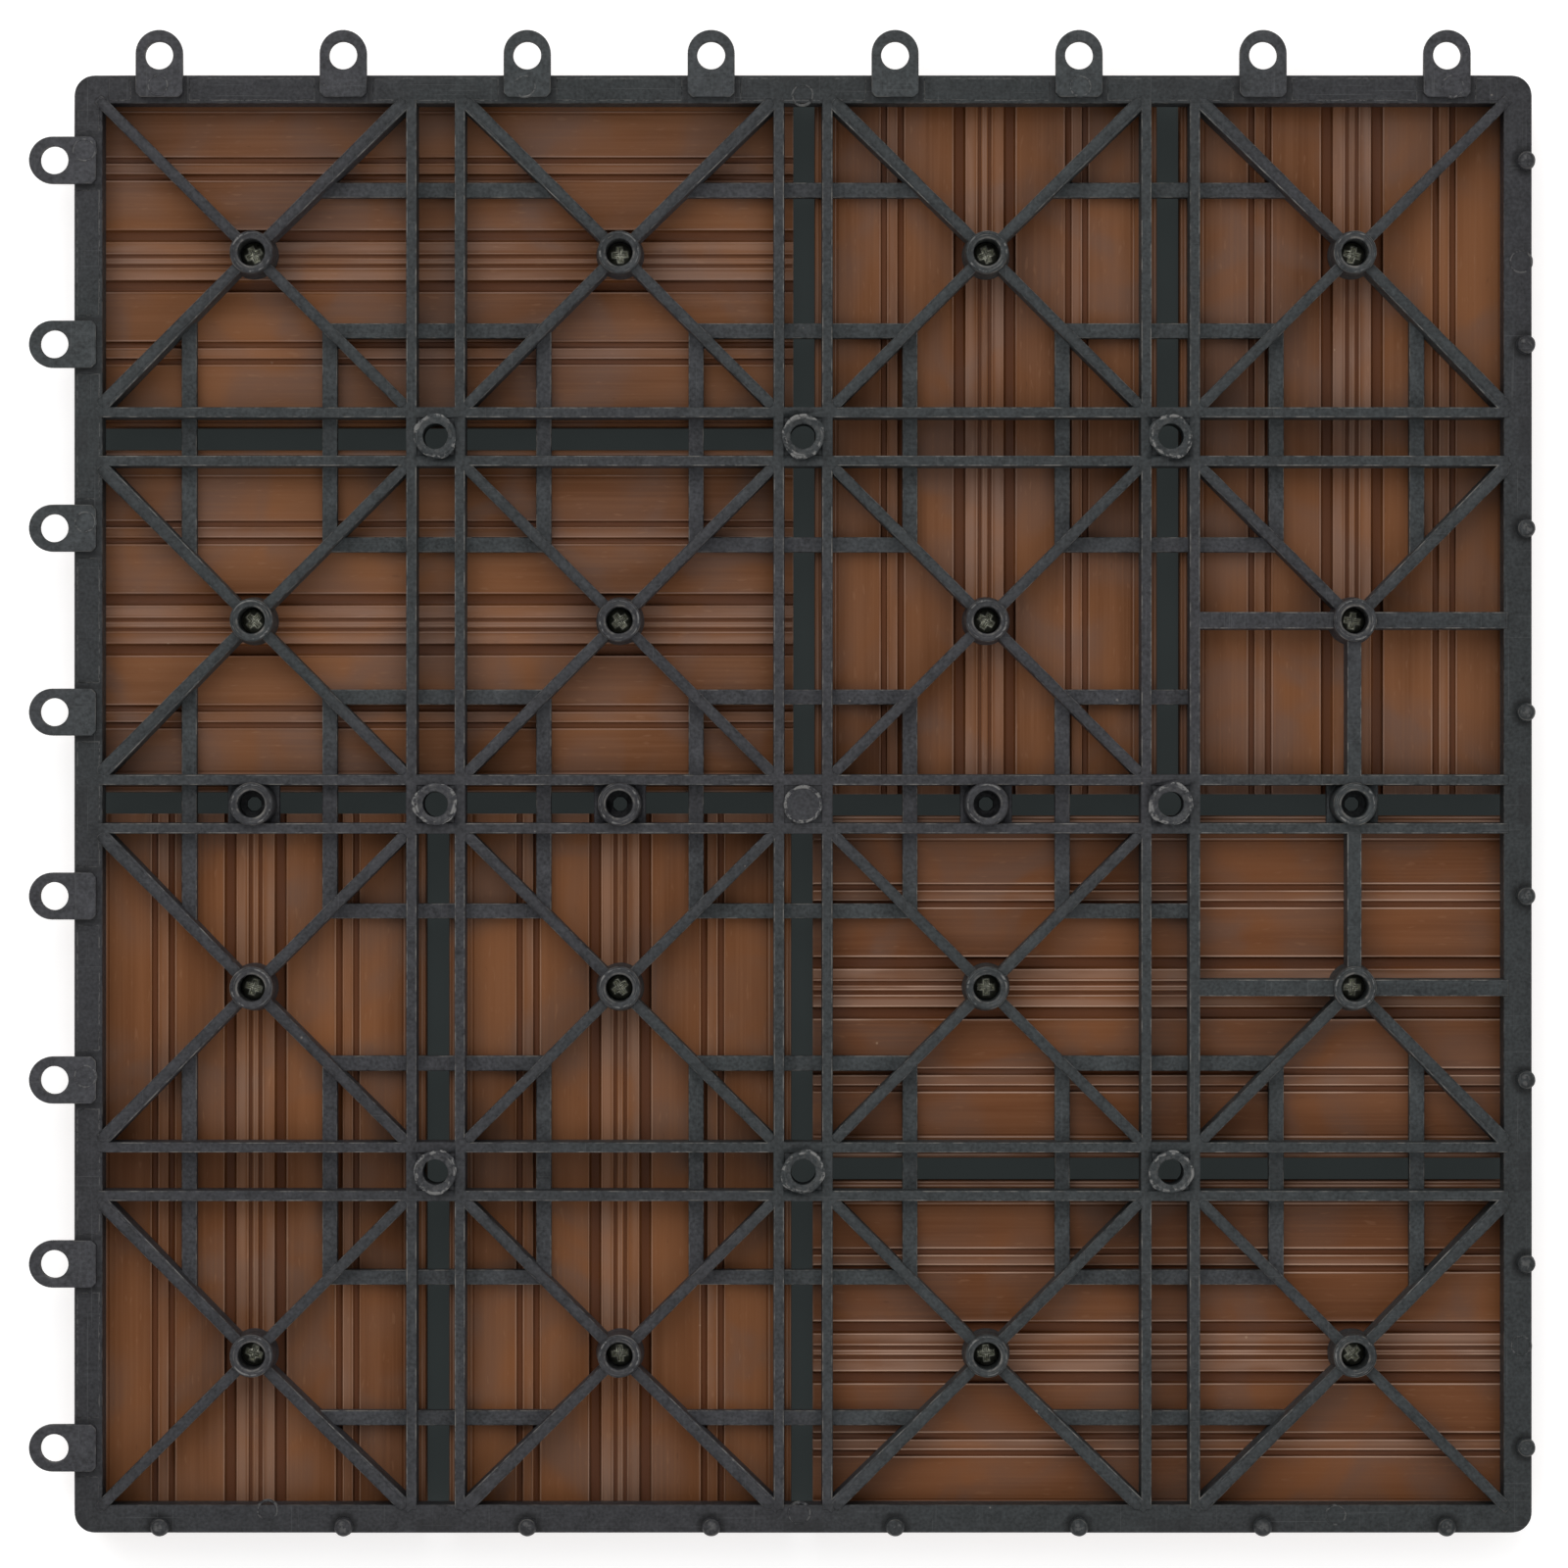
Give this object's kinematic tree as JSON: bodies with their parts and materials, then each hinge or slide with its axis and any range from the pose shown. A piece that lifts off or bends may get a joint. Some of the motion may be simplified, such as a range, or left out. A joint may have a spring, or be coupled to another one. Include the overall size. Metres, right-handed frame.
{
  "type": "interlocking deck tile",
  "caption": "Square interlocking deck tile lying face down: a ribbed moulded grid with edge loops and pins, screwed to composite slats in a basket weave.",
  "frame": {"origin": "middle of the tile on its walking face; the tile lies face down on z = 0, as pictured", "axes": "+Z out of the tile's underside, towards its feet; +X towards one row of pins, +Y towards one row of loops, with the other loops on the -X side and the other pins on the -Y side. Turn it 180 degrees about X to lay it."},
  "size_m": [0.3072, 0.3072, 0.022],
  "materials": {
    "moulded_grid": "matte moulded polypropylene, charcoal",
    "composite_slat": "extruded wood-plastic composite, brown, fine lengthwise lines",
    "screw_steel": "dark zinc-plated steel"
  },
  "bodies": {
    "root": {"base_grid": "moulded_grid", "slat_north_east_inner": "composite_slat", "slat_north_east_outer": "composite_slat", "slat_north_west_inner": "composite_slat", "slat_north_west_outer": "composite_slat", "slat_south_west_inner": "composite_slat", "slat_south_west_outer": "composite_slat", "slat_south_east_inner": "composite_slat", "slat_south_east_outer": "composite_slat", "slat_screws": "screw_steel"}
  },
  "joints": []
}
